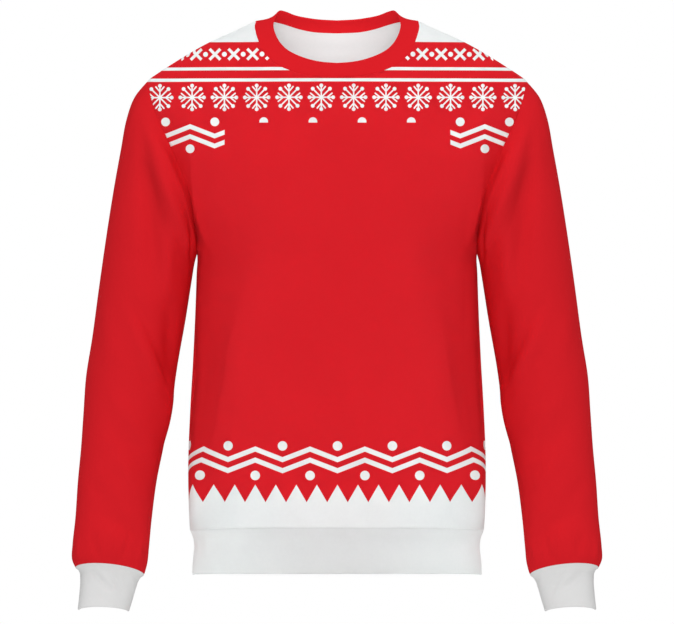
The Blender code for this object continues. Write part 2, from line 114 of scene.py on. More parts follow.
neck_light = bpy.data.lights.new("neck_lamp", "POINT")
neck_light.energy, neck_light.shadow_soft_size = NECK_LAMP_POWER, NECK_LAMP_RADIUS
neck_lamp = bpy.data.objects.new("neck_lamp", neck_light)
neck_lamp.location = NECK_LAMP_PLACE
neck_lamp.visible_camera = False
lit_in_neck = bpy.data.collections.new("lit_in_neck")
neck_lamp.light_linking.receiver_collection = lit_in_neck
bpy.context.scene.collection.objects.link(neck_lamp)

sky = bpy.context.scene.world or bpy.data.worlds.new("sky")
bpy.context.scene.world = sky
sky.use_nodes = True
sky_nodes, sky_links = sky.node_tree.nodes, sky.node_tree.links
sky_nodes["Background"].inputs["Color"].default_value = (1, 1, 1, 1)
sky_nodes["Background"].inputs["Strength"].default_value = SKY_STRENGTH
backdrop = sky_nodes.new("ShaderNodeBackground")
backdrop.inputs["Color"].default_value = (1, 1, 1, 1)
backdrop.inputs["Strength"].default_value = BACKDROP_STRENGTH
seen = sky_nodes.new("ShaderNodeLightPath")
either = sky_nodes.new("ShaderNodeMixShader")
sky_links.new(seen.outputs["Is Camera Ray"], either.inputs[0])
sky_links.new(sky_nodes["Background"].outputs[0], either.inputs[1])
sky_links.new(backdrop.outputs[0], either.inputs[2])
sky_links.new(either.outputs[0], sky_nodes["World Output"].inputs["Surface"])
bpy.context.scene.view_settings.view_transform = "Standard"

lens = bpy.data.cameras.new("camera")
lens.lens = lens.sensor_width * CAMERA_DISTANCE / VIEW_WIDTH
lens.clip_end = CAMERA_REACH
camera = bpy.data.objects.new("camera", lens)
camera.location = (0, -CAMERA_DISTANCE, CAMERA_HEIGHT)
camera.rotation_euler = (np.pi / 2, 0, 0)
bpy.context.scene.collection.objects.link(camera)
bpy.context.scene.camera = camera

# The front: one panel of brushed fleece, printed with its bands before it is cut, sewn to the back
# at the sides and shoulders, to the sleeves at the armholes, and to the neckband and hem band.
# Its form is level sections of the body, cut by its edges and drawn down into the armhole seams.

CLOTH = 2.0  # how thick it is
SEAM_GAP = 0.05
HEM_SEAM_MIDDLE, HEM_SEAM_DROP = -639.8, 5.5
SHOULDER_TIP, UNDERARM = -76.5, -294.0
HEM_HANDLE, TOP_HANDLE = 200.0, 90.0  # handles of the curves that its columns follow
TOP_LEAN_SPAN = 0.2  # the top edge's lean is read this share of half the width to each side
SIDE_FADE, HEM_FADE, TOP_FADE = 0.2, 0.025, 0.08  # folds die out over these shares of the panel
TUCK_FADE = 5.0  # and tucks this far from its side
EDGE_STEPS = 400
FRONT, BACK = -1.0, 1.0
QUARTER = np.pi / 2
NECK_SHARE = 7 / 16  # how much of the top edge is the neck, the rest is the shoulder
SIDE_SHARE = 10 / 22  # how much of the rows lie below the underarm
NECK_COLUMNS, SHOULDER_COLUMNS, SIDE_ROWS, ARMHOLE_ROWS = 26, 36, 72, 82
SEAM_ROUND, ARMHOLE_ROUND = 0.5, 1.0  # a sewn edge is rounded off with this radius
ROUND_SHARE = 0.98  # of the full round, so that a folded edge's two faces don't fall together
SEAM_PUFF, SEAM_PUFF_WIDTH = 0.3, 6.0  # and the cloth stands out a little next to it
EDGE_CROWD = (0.03, 0.05, 0.08, 0.14, 0.25, 0.5, 0.8)  # the first rows at an edge, in rows
SLOPE_STEP = 1.0  # the body's slope is read this far above and below
MERGE_DISTANCE = 0.000001  # metres
SHARP_ANGLE = 50  # degrees, past which an edge of the mesh is shaded as a crease
TINY = 1e-9

# Half the body's width at a height, its depths in front and behind, and how square it is, where an
# ellipse is 2
Level = namedtuple("Level", "height half_width front back square")
BODY = (
    Level(-660, 184.0, 116, 110, 2.30),
    Level(-640, 185.6, 119, 112, 2.30),
    Level(-600, 187.6, 123, 114, 2.30),
    Level(-550, 187.8, 124, 112, 2.30),
    Level(-490, 185.4, 124, 107, 2.30),
    Level(-430, 182.0, 124, 104, 2.30),
    Level(-370, 179.2, 125, 105, 2.30),
    Level(-320, 177.5, 126, 109, 2.28),
    Level(-294, 177.0, 126, 112, 2.25),
    Level(-270, 186.0, 126, 115, 2.20),
    Level(-245, 203.0, 125, 117, 2.15),
    Level(-215, 222.0, 123, 118, 2.10),
    Level(-175, 239.0, 117, 116, 2.05),
    Level(-135, 249.0, 107, 111, 2.00),
    Level(-105, 250.0, 98, 105, 2.00),
    Level(-76.5, 239.7, 87, 95, 2.00),
    Level(-64.5, 223.6, 82, 91, 2.00),
    Level(-54.4, 208.1, 77, 86, 2.00),
    Level(-44.3, 191.8, 72, 81, 2.00),
    Level(-34.2, 174.6, 66, 76, 2.00),
    Level(-24.0, 155.0, 59, 69, 2.00),
    Level(-13.9, 132.2, 50, 62, 2.00),
    Level(-3.8, 110.3, 38, 54, 2.00),
    Level(0.0, 103.0, 32, 50, 2.00),
    Level(3.0, 94.5, 26, 46, 2.00),
)

# Where the armhole seam lies in front and behind, how deep it is drawn in below the body's surface,
# and the width over which the panel turns down into it
Armhole = namedtuple("Armhole", "height front_x back_x front_valley back_valley front_turn back_turn")
ARMHOLE = (
    Armhole(-294, 177.0, 177.0, 0, 0, 9.0, 12.0),
    Armhole(-275, 177.2, 179.0, 16, 6, 4.5, 12.0),
    Armhole(-250, 181.0, 185.0, 9, 9, 3.0, 12.0),
    Armhole(-217, 187.2, 196.0, 9, 8, 3.5, 12.0),
    Armhole(-176, 203.0, 210.0, 13, 5, 18.0, 16.0),
    Armhole(-145, 216.7, 220.0, 7, 2, 31.0, 20.0),
    Armhole(-125, 225.6, 227.5, 3, 1, 38.0, 20.0),
    Armhole(-97, 235.6, 236.0, 0, 0, 40.0, 20.0),
    Armhole(-76.5, 239.7, 239.7, 0, 0, 40.0, 20.0),
)

# From the middle to the shoulder: the neck seam, the neckband's free edge, and its arch between them
NeckStation = namedtuple("NeckStation", "seam_x seam_z edge_x edge_y edge_z crown")
NECK_FRONT = (
    NeckStation(0.0, -71.5, 0.0, -74.0, -53.3, 1.5),
    NeckStation(20.9, -70.8, 18.0, -73.0, -52.0, 1.5),
    NeckStation(39.8, -68.3, 34.0, -70.0, -48.8, 1.5),
    NeckStation(58.8, -63.3, 49.5, -64.5, -43.4, 1.5),
    NeckStation(76.5, -55.0, 62.5, -56.5, -36.4, 1.5),
    NeckStation(88.5, -44.5, 71.0, -47.0, -28.2, 1.4),
    NeckStation(96.8, -33.0, 76.5, -36.5, -19.2, 1.2),
    NeckStation(102.0, -20.0, 79.8, -25.5, -10.0, 0.9),
    NeckStation(104.3, -9.0, 80.8, -15.0, -2.5, 0.4),
    NeckStation(103.0, 0.0, 79.0, -3.0, 5.0, -0.6),
)
NECK_BACK = (
    NeckStation(0.0, -13.5, 0.0, 50.0, 1.9, 1.5),
    NeckStation(27.2, -12.3, 22.0, 48.8, 3.1, 1.5),
    NeckStation(46.2, -8.8, 38.0, 45.0, 5.2, 1.3),
    NeckStation(65.2, -2.8, 52.5, 38.0, 8.2, 0.6),
    NeckStation(80.5, 1.3, 64.0, 28.0, 12.6, -0.4),
    NeckStation(92.5, 1.4, 72.0, 17.0, 14.3, -1.4),
    NeckStation(100.0, 0.5, 76.5, 7.0, 10.0, -2.0),
    NeckStation(103.0, 0.0, 79.0, -3.0, 5.0, -0.6),
)

# A fold runs from one end to the other, is this wide, and stands out by rise, or in if that is
# negative. On a panel it is x and z seen from the front.
Fold = namedtuple("Fold", "from_a from_b to_a to_b width rise")


class Tuck(Fold):
    """A fold with a crisp edge along its run, which lies only on the left of it."""


FRONT_FOLDS = (
    Fold(152, -225, 178, -570, 26, -12.0),
    Fold(124, -230, 142, -410, 26, -8.0),
    Fold(178, -540, 183, -720, 9, 5.5),
    Fold(178, -205, 150, -330, 10, -0.9),
    Fold(172, -262, 128, -352, 9, -0.7),
    Fold(160, -262, 112, -330, 9, 0.5),
    Fold(150, -205, 128, -300, 15, 1.2),
    Fold(42, -605, 46, -650, 10, -1.6),
    Fold(20, -615, 17, -650, 9, 1.0),
    Fold(70, -600, 74, -652, 12, 0.9),
    Fold(98, -612, 103, -655, 9, -1.2),
    Fold(124, -604, 131, -655, 10, 1.0),
    Fold(146, -590, 154, -655, 9, -1.5),
    Fold(84, -430, 122, -540, 24, -1.2),
    Fold(40, -470, 70, -590, 26, 1.0),
    Fold(150, -560, 172, -636, 11, 1.4),
    Fold(90, -90, 168, -150, 20, -1.0),
    Fold(60, -110, 120, -240, 34, 0.9),
)
FRONT_TUCKS = (
    Tuck(133, -366, 166, -560, 24, -4.5),
)


def row_at(table, place):
    """Read a table's columns on a smooth curve through its rows. The first column is the place."""
    rows = np.array(table, dtype=float)
    places, values = rows[:, 0], rows[:, 1:]
    slopes = np.gradient(values, places, axis=0)
    place = np.clip(place, places[0], places[-1])
    lower = np.clip(np.searchsorted(places, place, side="right") - 1, 0, len(places) - 2)
    step = (places[lower + 1] - places[lower])[..., None]
    t = (place[..., None] - places[lower][..., None]) / step
    start = values[lower] * (1 + 2 * t) * (1 - t) ** 2 + slopes[lower] * step * t * (1 - t) ** 2
    end = values[lower + 1] * (3 - 2 * t) * t**2 - slopes[lower + 1] * step * (1 - t) * t**2
    return np.moveaxis(start + end, -1, 0)


def ease(t):
    """0 up to t = 0, 1 from t = 1, with a soft start and end."""
    t = np.clip(t, 0, 1)
    return t * t * (3 - 2 * t)


def unit(vectors):
    return vectors / np.maximum(np.linalg.norm(vectors, axis=-1, keepdims=True), TINY)


def relief(folds, a, b, a_size=1.0, b_size=1.0):
    """How far the folds raise the cloth at places (a, b), whose units measure a_size and b_size."""
    total = np.zeros(np.shape(a))
    for fold in folds:
        run_a, run_b = (fold.to_a - fold.from_a) * a_size, (fold.to_b - fold.from_b) * b_size
        to_a, to_b = (a - fold.from_a) * a_size, (b - fold.from_b) * b_size
        t = np.clip((to_a * run_a + to_b * run_b) / (run_a**2 + run_b**2), 0, 1)
        if isinstance(fold, Tuck):
            left = (run_a * to_b - run_b * to_a) / np.hypot(run_a, run_b) / fold.width
            left = np.maximum(left, 0)
            total = total + fold.rise * left * np.exp(1 - left) * np.sin(np.pi * t)
        else:
            away = np.hypot(to_a - t * run_a, to_b - t * run_b) / fold.width
            total = total + fold.rise * np.exp(-(away**2)) * np.sin(np.pi * t)
    return total


def sewn(distance):
    """How far the cloth stands out this far from a sewn edge."""
    puff = distance / SEAM_PUFF_WIDTH
    return SEAM_PUFF * puff * np.exp(1 - puff)


def rounded(distance, radius=SEAM_ROUND):
    """How far each face is set in this far from an edge that is rounded off."""
    inside = np.clip(1 - distance / radius, 0, 1)
    return radius * ROUND_SHARE * (1 - np.sqrt(np.maximum(1 - inside**2, 0)))


def spread(count, start=True, end=True):
    """count steps from 0 to 1, short ones at the edges that are asked for."""
    steps = np.ones(count)
    if start:
        steps[: len(EDGE_CROWD)] = EDGE_CROWD
    if end:
        steps[-len(EDGE_CROWD):] = EDGE_CROWD[::-1]
    return np.concatenate([[0], np.cumsum(steps)]) / steps.sum()


def level_at(height, side):
    """Half the body's width at a height, its depth on this side, and how square it is."""
    half_width, front_depth, back_depth, square = row_at(BODY, height)
    return half_width, front_depth if side == FRONT else back_depth, square


def body_point(turn, height, side):
    """A point of the body and its outward normal. turn is a quarter turn from middle to seam."""
    half_width, depth, square = level_at(height, side)
    sine, cosine = np.abs(np.sin(turn * QUARTER)), np.abs(np.cos(turn * QUARTER))
    cosine = np.where(np.abs(turn) > 1 - TINY, 0.0, cosine)
    x_share, y_share = sine ** (2 / square), cosine ** (2 / square)
    point = np.stack([np.sign(turn) * half_width * x_share, side * depth * y_share, height], -1)

    width_above, depth_above, _ = level_at(height + SLOPE_STEP, side)
    width_below, depth_below, _ = level_at(height - SLOPE_STEP, side)
    widening = (width_above - width_below) / (2 * SLOPE_STEP)
    deepening = (depth_above - depth_below) / (2 * SLOPE_STEP)
    x_normal = np.sign(turn) * x_share ** (square - 1) / half_width
    y_normal = side * y_share ** (square - 1) / depth
    z_normal = -(x_share**square * widening / half_width + y_share**square * deepening / depth)
    return point, unit(np.stack([x_normal, y_normal, z_normal], -1))


def quarter_girth(height, side):
    """About how much cloth lies between the panel's middle and its seam."""
    half_width, depth, _ = level_at(height, side)
    return QUARTER * np.sqrt((half_width**2 + depth**2) / 2)


class Edge(namedtuple("Edge", "share flat height")):
    """One edge of a panel: share of its length, distance from the panel's middle, and height."""

    @classmethod
    def through(cls, x, z, side):
        """The edge through points seen from the front, in equal shares of its length."""
        half_width, _, square = level_at(z, side)
        turn = np.arcsin(np.clip(x / half_width, 0, 1) ** (square / 2)) / QUARTER
        points, _ = body_point(turn, z, side)
        steps = np.linalg.norm(np.diff(points, axis=0), axis=1)
        length = np.concatenate([[0], np.cumsum(steps)])
        return cls(length / length[-1], turn * quarter_girth(z, side), z)

    def at(self, share):
        return np.interp(share, self.share, self.flat), np.interp(share, self.share, self.height)

    def then(self, other, split):
        """This edge up to the share split, and the other edge from there on."""
        share = np.concatenate([self.share * split, split + other.share[1:] * (1 - split)])
        flat = np.concatenate([self.flat, other.flat[1:]])
        return Edge(share, flat, np.concatenate([self.height, other.height[1:]]))


STEPS = np.linspace(0, 1, EDGE_STEPS)


def hem_seam_height(turn):
    return HEM_SEAM_MIDDLE - HEM_SEAM_DROP * turn**2


def neck_table(side):
    stations = NECK_FRONT if side == FRONT else NECK_BACK
    return [(index / (len(stations) - 1), *station) for index, station in enumerate(stations)]


def armhole_at(height, side):
    """Where a panel's armhole seam lies, how deep it is drawn in, and the width of the turn."""
    front_x, back_x, front_valley, back_valley, front_turn, back_turn = row_at(ARMHOLE, height)
    return (front_x, front_valley, front_turn) if side == FRONT else (back_x, back_valley, back_turn)


def armhole_edge(side):
    """From the underarm up to the shoulder tip."""
    height = UNDERARM + (SHOULDER_TIP - UNDERARM) * (1 - np.cos(np.pi * STEPS)) / 2
    seam_x, _, _ = armhole_at(height, side)
    return Edge.through(seam_x, height, side)


def panel_edges(side):
    """The top edge from its middle to the shoulder tip, and the side from the hem up to there."""
    neck_x, neck_z, *_ = row_at(neck_table(side), STEPS)
    neck = Edge.through(neck_x, neck_z, side)
    shoulder_z = SHOULDER_TIP * STEPS
    shoulder = Edge.through(level_at(shoulder_z, side)[0], shoulder_z, side)
    side_z = hem_seam_height(1.0) + (UNDERARM - hem_seam_height(1.0)) * STEPS
    side_seam = Edge.through(level_at(side_z, side)[0], side_z, side)
    return neck.then(shoulder, NECK_SHARE), side_seam.then(armhole_edge(side), SIDE_SHARE)


EDGES = {side: panel_edges(side) for side in (FRONT, BACK)}


def valley(height, side):
    """How deep the armhole seam lies below the body's surface."""
    _, depth, _ = armhole_at(height, side)
    return np.where(height < UNDERARM, 0.0, depth)


def turned_down(x, height, side):
    """How far the panel has turned down at x towards its armhole seam, which is at 1."""
    seam_x, _, width = armhole_at(height, side)
    share = np.clip(1 - (seam_x - x) / width, 0, 1)
    return share * (2 - share) * (height > UNDERARM)


def column(out, v, top, side):
    """Where a column of the panel's grid lies on the flat cloth, from the hem seam up."""
    hem_z = hem_seam_height(out)
    hem_flat = out * quarter_girth(hem_z, side)
    top_flat, top_z = top.at(out)
    inner, outer = out - TOP_LEAN_SPAN, np.minimum(out + TOP_LEAN_SPAN, 1)
    inner_flat, inner_z = top.at(np.abs(inner))
    outer_flat, outer_z = top.at(outer)
    run, rise = outer_flat - np.sign(inner) * inner_flat, outer_z - inner_z
    lean = TOP_HANDLE / np.hypot(run, rise)
    start, lift, settle, end = (1 - v) ** 3, 3 * v * (1 - v) ** 2, 3 * v**2 * (1 - v), v**3
    flat = (start + lift) * hem_flat + (settle + end) * top_flat + settle * lean * rise
    height = ((start + lift) * hem_z + lift * HEM_HANDLE
              + (settle + end) * top_z - settle * lean * run)
    return flat, height


LEAST_SPREAD = 0.62  # how narrow the print gets, seen from the front, where the sides turn away
TURN_STEPS = 48


def printed_across(turn, height, side):
    """How far from the middle of the print a place lies, along the level section."""
    half_width, depth, square = level_at(height, side)
    turns = np.abs(turn)[:, None] * np.linspace(0, 1, TURN_STEPS) * QUARTER
    x = half_width[:, None] * np.sin(turns) ** (2 / square[:, None])
    y = depth[:, None] * np.maximum(np.cos(turns), 0) ** (2 / square[:, None])
    step_x, step_y = np.diff(x, axis=1), np.diff(y, axis=1)
    steps = np.maximum(step_x, LEAST_SPREAD * np.hypot(step_x, step_y))
    return np.sign(turn) * steps.sum(axis=1)


def panel_point(u, v, side, folds, tucks):
    """A point of the front or back, its outward direction, and its place on the printed cloth."""
    top, seam = EDGES[side]
    out = np.abs(2 * u - 1)
    seam_flat, seam_z = seam.at(v)
    flat, height = column(out, v, top, side)
    last_flat, last_z = column(np.ones_like(out), v, top, side)
    flat = flat + out * (seam_flat - last_flat)
    height = height + out * (seam_z - last_z)
    turn = np.sign(2 * u - 1) * np.clip(flat / quarter_girth(height, side), 0, 1)
    point, normal = body_point(turn, height, side)

    top_flat, top_z = top.at(out)
    to_top = np.hypot(top_flat - flat, top_z - height)
    to_seam = np.hypot(seam_flat - flat, seam_z - height)
    to_hem = np.abs(height - hem_seam_height(out))
    level_x = np.abs(point[..., 0])
    inside = ease((1 - out) / SIDE_FADE) * ease(v / HEM_FADE) * ease((1 - v) / TOP_FADE)
    rise = relief(folds, level_x, height) * inside
    rise += relief(tucks, level_x, height) * ease(to_seam / TUCK_FADE)
    rise += sewn(to_top) + sewn(to_seam) + sewn(to_hem)
    point = point + normal * rise[..., None]
    point[..., 1] -= side * turned_down(level_x, height, side) * valley(height, side)
    point[..., 1] = side * np.maximum(side * point[..., 1], SEAM_GAP / 2)
    cloth = np.stack([printed_across(turn, height, side), height], -1)
    at_seam = rounded(to_seam, np.where(v < SIDE_SHARE, SEAM_ROUND, ARMHOLE_ROUND))
    return point, normal, cloth, np.maximum(rounded(np.minimum(to_top, to_hem)), at_seam)


def shell(name, across, along, place, thickness, finishes):
    """A closed sheet of cloth on a grid. place gives points, outward directions, the cloth's own
    coordinates, and how far each face is set in where an edge is round, all at (u, v). The second
    finish, where there is one, is the inside's."""
    mesh = bmesh.new()
    bmesh.ops.create_grid(mesh, x_segments=len(across) - 1, y_segments=len(along) - 1, size=0.5)
    mesh.verts.ensure_lookup_table()
    corners = np.array([vertex.co[:2] for vertex in mesh.verts]) + 0.5
    u = across[np.round(corners[:, 0] * (len(across) - 1)).astype(int)]
    v = along[np.round(corners[:, 1] * (len(along) - 1)).astype(int)]
    points, normals, cloth, set_in = place(u, v)
    outer = (points - normals * set_in[:, None]) * MM
    inner = (points - normals * (thickness - set_in)[:, None]) * MM
    inner_place = mesh.verts.layers.float_vector.new("inner_place")
    for vertex, outer_point, inner_point in zip(mesh.verts, outer, inner):
        vertex.co = outer_point
        vertex[inner_place] = inner_point
    cloth_map = mesh.loops.layers.uv.new("cloth")
    for face in mesh.faces:
        for loop in face.loops:
            loop[cloth_map].uv = cloth[loop.vert.index]
    bmesh.ops.remove_doubles(mesh, verts=mesh.verts[:], dist=MERGE_DISTANCE)
    made = bmesh.ops.extrude_face_region(mesh, geom=mesh.faces[:])["geom"]
    inside = {element for element in made if isinstance(element, bmesh.types.BMVert)}
    for vertex in inside:
        vertex.co = vertex[inner_place]
    for face in mesh.faces:
        if inside.issuperset(face.verts):
            face.material_index = len(finishes) - 1
    bmesh.ops.recalc_face_normals(mesh, faces=mesh.faces[:])
    mesh.verts.layers.float_vector.remove(inner_place)
    data = bpy.data.meshes.new(name)
    mesh.to_mesh(data)
    mesh.free()
    data.shade_smooth()
    data.set_sharp_from_angle(angle=np.radians(SHARP_ANGLE))
    for finish in finishes:
        data.materials.append(finish)
    piece = bpy.data.objects.new(name, data)
    bpy.context.scene.collection.objects.link(piece)
    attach(piece, "root")
    return piece


class Field:
    """A number that varies over the cloth, built up with Math nodes."""

    def __init__(self, tree, socket):
        self.tree, self.socket = tree, socket

    def math(self, operation, *others, clamp=False):
        node = self.tree.nodes.new("ShaderNodeMath")
        node.operation, node.use_clamp = operation, clamp
        for value, place in zip((self, *others), node.inputs):
            if isinstance(value, Field):
                self.tree.links.new(value.socket, place)
            else:
                place.default_value = value
        return Field(self.tree, node.outputs[0])

    def __add__(self, other):
        return self.math("ADD", other)

    def __sub__(self, other):
        return self.math("SUBTRACT", other)

    def __mul__(self, other):
        return self.math("MULTIPLY", other)

    def __abs__(self):
        return self.math("ABSOLUTE")

    def least(self, other):
        return self.math("MINIMUM", other)

    def most(self, other):
        return self.math("MAXIMUM", other)

    def repeat(self, period, start=0.0):
        """How far it is to the nearest of the places start, start + period and so on."""
        return (self - start).math("PINGPONG", period / 2)


def length(a, b):
    return (a * a + b * b).math("SQRT")


def disc(a, b, radius):
    """Negative inside a dot, like each of the shapes below, and in millimetres from its edge."""
    return length(a, b) - radius


def stroke(a, b, start, end, half_width):
    """A straight stroke with round ends."""
    run = (end[0] - start[0], end[1] - start[1])
    size = run[0] ** 2 + run[1] ** 2
    to_a, to_b = a - start[0], b - start[1]
    share = (to_a * (run[0] / size) + to_b * (run[1] / size)).math("ADD", 0.0, clamp=True)
    return length(to_a - share * run[0], to_b - share * run[1]) - half_width


def zigzag(from_peak, height, peak_top, slope, thickness):
    """A zigzag line, whose upper edge is at peak_top at the peaks and falls off with the slope."""
    line = height + from_peak * slope - (peak_top - thickness / 2)
    return (abs(line) - thickness / 2) * float(np.cos(np.arctan(slope)))


SQRT_HALF = 0.5**0.5
CROSSES_MIDDLE, CROSSES_PERIOD, CROSSES_DOT = -42.6, 23.81, 3.1
CROSS_HALF_STROKE, CROSS_REACH = 1.85, 9.6
FLAKES_MIDDLE, FLAKES_PERIOD = -97.3, 40.78
FLAKE_HALF_STROKE, FLAKE_DOT = 0.9, 2.4
FLAKE_ARM, FLAKE_ARM_DOT = (14.6, 0.0), (14.9, 0.0)
FLAKE_DIAGONAL, FLAKE_DIAGONAL_DOT = (10.6, 10.6), (10.8, 10.8)
FORK_START, FORK_END = (7.4, 0.0), (13.5, 5.1)


def crosses(across, height):
    """A row of diagonal crosses whose arms are cut off square, with a dot between each two."""
    a, b = across.repeat(CROSSES_PERIOD, CROSSES_PERIOD / 2), abs(height - CROSSES_MIDDLE)
    beside = abs(a - b) * SQRT_HALF - CROSS_HALF_STROKE
    beyond = (a + b) * SQRT_HALF - CROSS_REACH
    dots = disc(across.repeat(CROSSES_PERIOD), height - CROSSES_MIDDLE, CROSSES_DOT)
    return beside.most(beyond).least(dots)


def snowflakes(across, height):
    """A row of eight-armed snowflakes. Each arm ends in a dot, and the upright ones also fork."""
    a, b = across.repeat(FLAKES_PERIOD, FLAKES_PERIOD / 2), abs(height - FLAKES_MIDDLE)
    far, near = a.most(b), a.least(b)
    flake = stroke(far, near, FORK_START, FORK_END, FLAKE_HALF_STROKE)
    for arm, dot in ((FLAKE_ARM, FLAKE_ARM_DOT), (FLAKE_DIAGONAL, FLAKE_DIAGONAL_DOT)):
        flake = flake.least(stroke(far, near, (0.0, 0.0), arm, FLAKE_HALF_STROKE))
        flake = flake.least(disc(far - dot[0], near - dot[1], FLAKE_DOT))
    return flake


ZigzagBand = namedtuple("ZigzagBand", "period peak_at peak_top drop thickness pitch dots low_dots radius")


def double_zigzag(across, height, row):
    """Dots above a band's valleys, and apart from them its two lines with dots below the peaks."""
    from_peak = across.repeat(row.period, row.peak_at)
    from_valley = across.repeat(row.period, row.peak_at - row.period / 2)
    slope = row.drop / (row.period / 2)
    lines = disc(from_peak, height - row.low_dots, row.radius)
    for peak_top in (row.peak_top, row.peak_top - row.pitch):
        lines = lines.least(zigzag(from_peak, height, peak_top, slope, row.thickness))
    return disc(from_valley, height - row.dots, row.radius), lines


PRINT_SOFTNESS = 0.35  # how far the ink's edge takes to go from red to white
PRINT_SHIFT = 0.6  # how far the print lies to the wearer's left of the panel's middle
YOKE_BOTTOM = -27.1
STRIPES = ((-61.1, 2.0), (-75.3, 2.05))  # the middle and half the width of each
CHEST = ZigzagBand(period=62.0, peak_at=0.0, peak_top=-131.0, drop=12.1, thickness=6.0, pitch=12.6,
                   dots=-128.1, low_dots=-162.1, radius=5.5)
CHEST_CUT, CHEST_DOT_CUT = 142.5, -129.3  # the chest's middle is plain, and cuts its dots in half
WAIST = ZigzagBand(period=69.1, peak_at=69.1 / 2, peak_top=-537.5, drop=13.4, thickness=6.5,
                   pitch=13.9, dots=-536.8, low_dots=-574.1, radius=6.0)
TEETH_TIP, TEETH_PERIOD, TEETH_DEPTH = -585.6, 25.9, 22.2


def print_chart(across, height, plain_middle):
    """How far a place lies outside the white of the print: negative is white."""
    across = across - PRINT_SHIFT
    white = (height * -1) + YOKE_BOTTOM
    white = white.least(crosses(across, height)).least(snowflakes(across, height))
    for middle, half_width in STRIPES:
        white = white.least(abs(height - middle) - half_width)

    dots, lines = double_zigzag(across, height, CHEST)
    if plain_middle:
        beyond_cut = (abs(across) * -1) + CHEST_CUT
        dots = dots.most(beyond_cut.least((height * -1) + CHEST_DOT_CUT))
        lines = lines.most(beyond_cut)
    white = white.least(dots).least(lines)
    for motif in double_zigzag(across, height, WAIST):
        white = white.least(motif)

    slope = TEETH_DEPTH / (TEETH_PERIOD / 2)
    teeth = height + across.repeat(TEETH_PERIOD) * slope - TEETH_TIP
    return white.least(teeth * float(np.cos(np.arctan(slope))))


RED_INK = (0.710, 0.0150, 0.0223, 1)
WHITE_FLEECE = (0.88, 0.88, 0.88, 1)
FLEECE_ROUGHNESS, FLEECE_GLOSS = 0.9, 0.02
WALE, COURSE = 1.25, 0.95  # one knitted stitch's width and height
LEG_SLANT = 1.1  # how many rows a stitch's leg would climb across a whole wale
ROW_SHARE = 0.6  # how much of the relief is the rows', the rest is the legs'
STITCH_RELIEF, FUZZ_RELIEF = 0.00012, 0.00010  # metres
MOTTLE = 0.035  # how much lighter and darker the dye runs
# How fine each noise is, to a metre, how many finer ones lie in it, and how strong those are
Noise = namedtuple("Noise", "scale detail roughness")
BLOTCHES, SPECKS, NAP = Noise(14, 3, 0.5), Noise(260, 2, 0.5), Noise(900, 2, 0.6)


def cloth_material(name, colour, chart=None):
    """Brushed jersey: rows of fine knitted stitches under a short nap, dyed in one colour, or white
    and printed with it where the chart is above 0."""
    material = bpy.data.materials.new(name)
    material.use_nodes = True
    tree = material.node_tree
    nodes, links = tree.nodes, tree.links
    shader = nodes["Principled BSDF"]
    shader.inputs["Roughness"].default_value = FLEECE_ROUGHNESS
    shader.inputs["Specular IOR Level"].default_value = FLEECE_GLOSS
    cloth = nodes.new("ShaderNodeUVMap")
    cloth.uv_map = "cloth"
    apart = nodes.new("ShaderNodeSeparateXYZ")
    links.new(cloth.outputs["UV"], apart.inputs[0])
    across, height = Field(tree, apart.outputs["X"]), Field(tree, apart.outputs["Y"])

    place = nodes.new("ShaderNodeTexCoord")

    def noise(kind):
        node = nodes.new("ShaderNodeTexNoise")
        node.inputs["Scale"].default_value = kind.scale
        node.inputs["Detail"].default_value = kind.detail
        node.inputs["Roughness"].default_value = kind.roughness
        links.new(place.outputs["Object"], node.inputs["Vector"])
        return Field(tree, node.outputs["Fac"])

    # One stitch is a V of two leaning legs, so each wale's two halves slant opposite ways.
    leg = across.repeat(WALE) * (1 / WALE)
    rows = (height * (1 / COURSE) + leg * LEG_SLANT).math("PINGPONG", 0.5) * 2
    round_leg = leg * 2 * (leg * -2 + 1) * 4
    stitches = rows * ROW_SHARE + round_leg * (1 - ROW_SHARE)
    nap = noise(NAP)

    tint = (noise(BLOTCHES) - 0.5) * (2 * MOTTLE) + (noise(SPECKS) - 0.5) * MOTTLE + 1.0
    grey = nodes.new("ShaderNodeCombineColor")
    for channel in ("Red", "Green", "Blue"):
        links.new(tint.socket, grey.inputs[channel])
    shaded = nodes.new("ShaderNodeMix")
    shaded.data_type, shaded.blend_type = "RGBA", "MULTIPLY"
    shaded.inputs["Factor"].default_value = 1.0
    shaded.inputs["A"].default_value = colour
    links.new(grey.outputs[0], shaded.inputs["B"])
    if chart:
        printed = nodes.new("ShaderNodeMix")
        printed.data_type = "RGBA"
        printed.inputs["A"].default_value = colour
        printed.inputs["B"].default_value = WHITE_FLEECE
        bare = (chart(across, height) * (-1 / PRINT_SOFTNESS)).math("ADD", 0.5, clamp=True)
        links.new(bare.socket, printed.inputs["Factor"])
        links.new(printed.outputs["Result"], shaded.inputs["A"])
    links.new(shaded.outputs["Result"], shader.inputs["Base Color"])

    knit = nodes.new("ShaderNodeBump")
    knit.inputs["Distance"].default_value = STITCH_RELIEF
    links.new(stitches.socket, knit.inputs["Height"])
    fuzz = nodes.new("ShaderNodeBump")
    fuzz.inputs["Distance"].default_value = FUZZ_RELIEF
    links.new(nap.socket, fuzz.inputs["Height"])
    links.new(knit.outputs["Normal"], fuzz.inputs["Normal"])
    links.new(fuzz.outputs["Normal"], shader.inputs["Normal"])
    return material


front_print = cloth_material(
    "printed_fleece", RED_INK, lambda across, height: print_chart(across, height, True))
plain_fleece = cloth_material("unprinted_fleece", WHITE_FLEECE)

